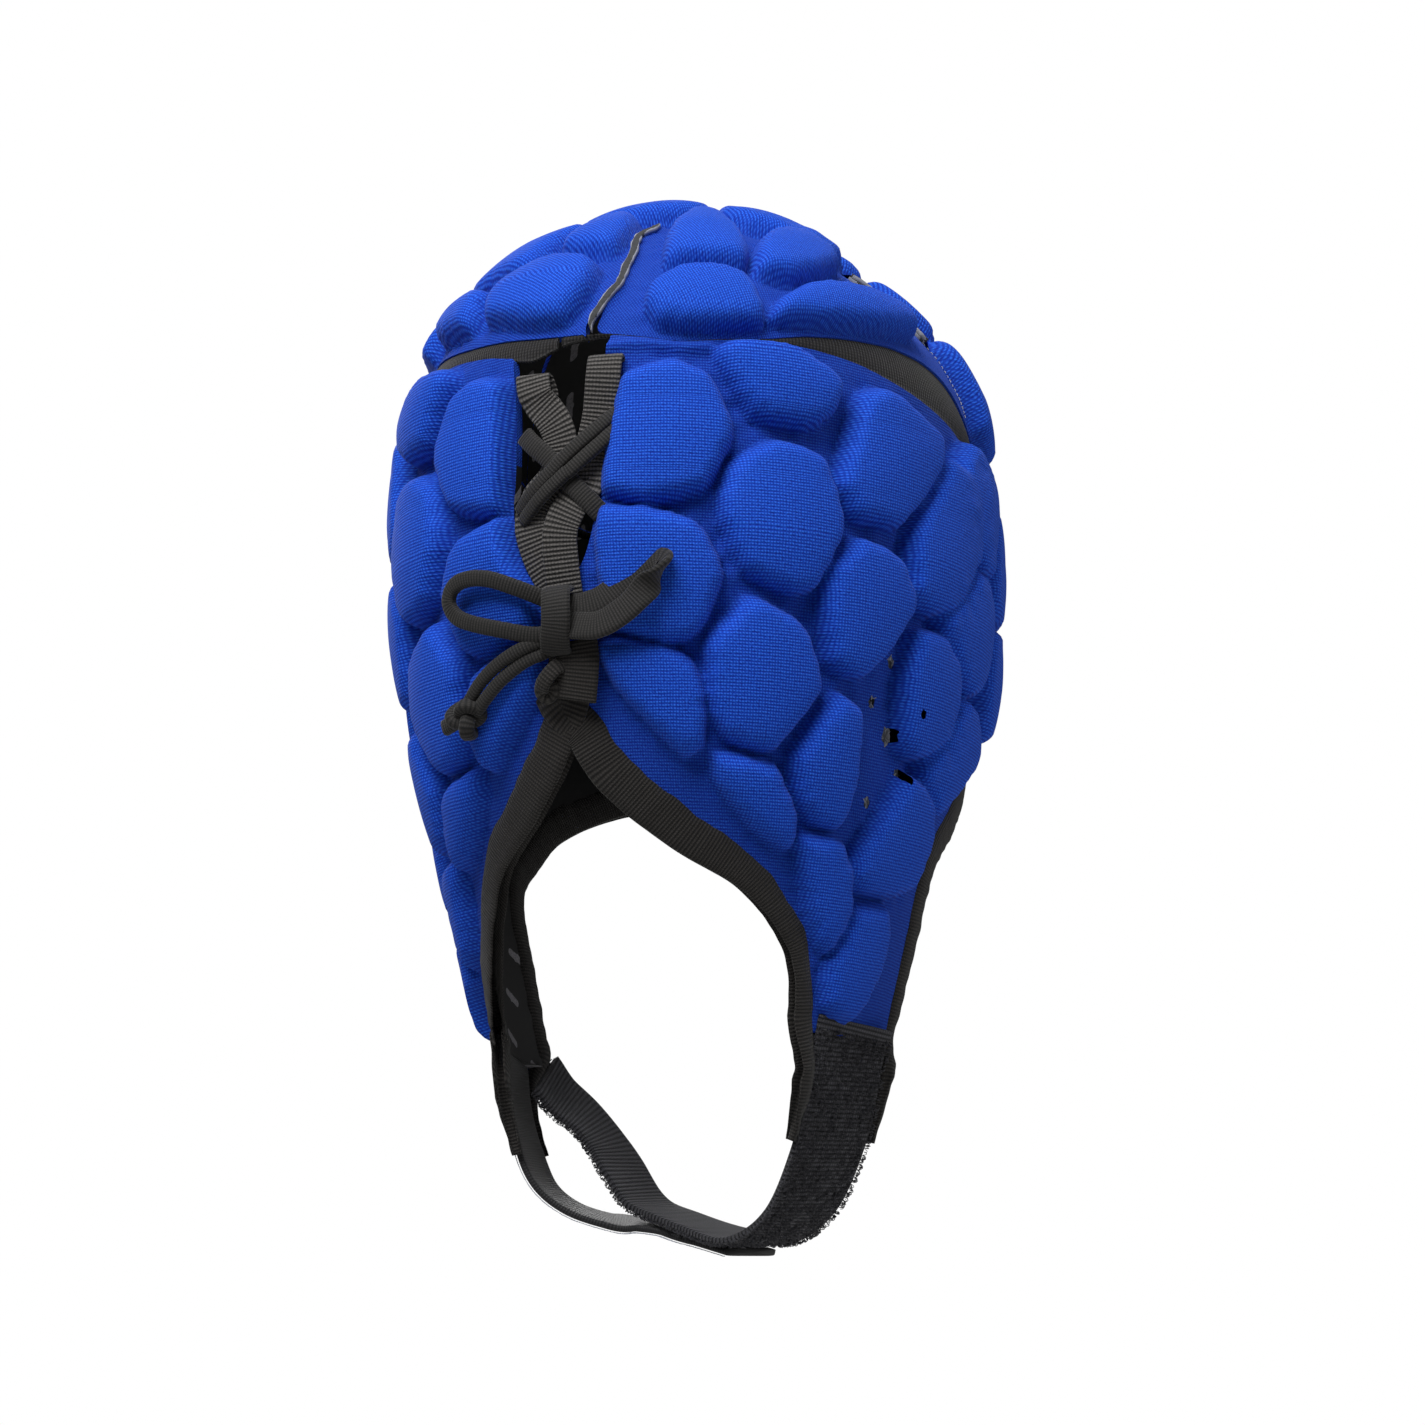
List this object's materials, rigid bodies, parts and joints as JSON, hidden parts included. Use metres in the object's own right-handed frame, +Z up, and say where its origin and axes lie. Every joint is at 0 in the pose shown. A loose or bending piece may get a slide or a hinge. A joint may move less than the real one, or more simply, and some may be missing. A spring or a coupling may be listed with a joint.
{
  "type": "rugby scrum cap",
  "caption": "Soft padded rugby head guard with a laced nape, ear flaps with vent holes, a vented crown and a hook-and-loop chin strap.",
  "frame": {"origin": "inside of the crown at its top, where the wearer's head bears", "axes": "+Z up along the wearer's head, -Y the way the face looks, -X the wearer's right ear"},
  "size_m": [0.1716, 0.2095, 0.3096],
  "materials": {
    "padded_fabric": "royal blue knitted fabric over foam pads, matt",
    "ribbed_band": "black ribbed elastic, matt",
    "edge_binding": "black ribbed binding tape, matt",
    "webbing": "black grosgrain webbing",
    "lace": "black flat knitted lace",
    "loop_pile": "black brushed loop pile on a smooth backing"
  },
  "bodies": {
    "root": {"crown_rear": "padded_fabric", "crown_front": "padded_fabric", "side_panel_right": "padded_fabric", "side_panel_left": "padded_fabric", "vent_band_right": "ribbed_band", "vent_band_left": "ribbed_band", "binding_face_right": "edge_binding", "binding_nape_right": "edge_binding", "binding_face_left": "edge_binding", "binding_nape_left": "edge_binding", "lace_webbing_right": "webbing", "lace_webbing_left": "webbing", "lace_under": "lace", "lace_over_upper": "lace", "lace_over_lower": "lace", "bow_knot": "lace", "bow_loop_left": "lace", "bow_loop_right": "lace", "lace_tail": "lace", "tail_knot": "lace", "lace_hem": "lace", "chin_strap": "loop_pile", "chin_tab": "loop_pile"}
  },
  "joints": []
}
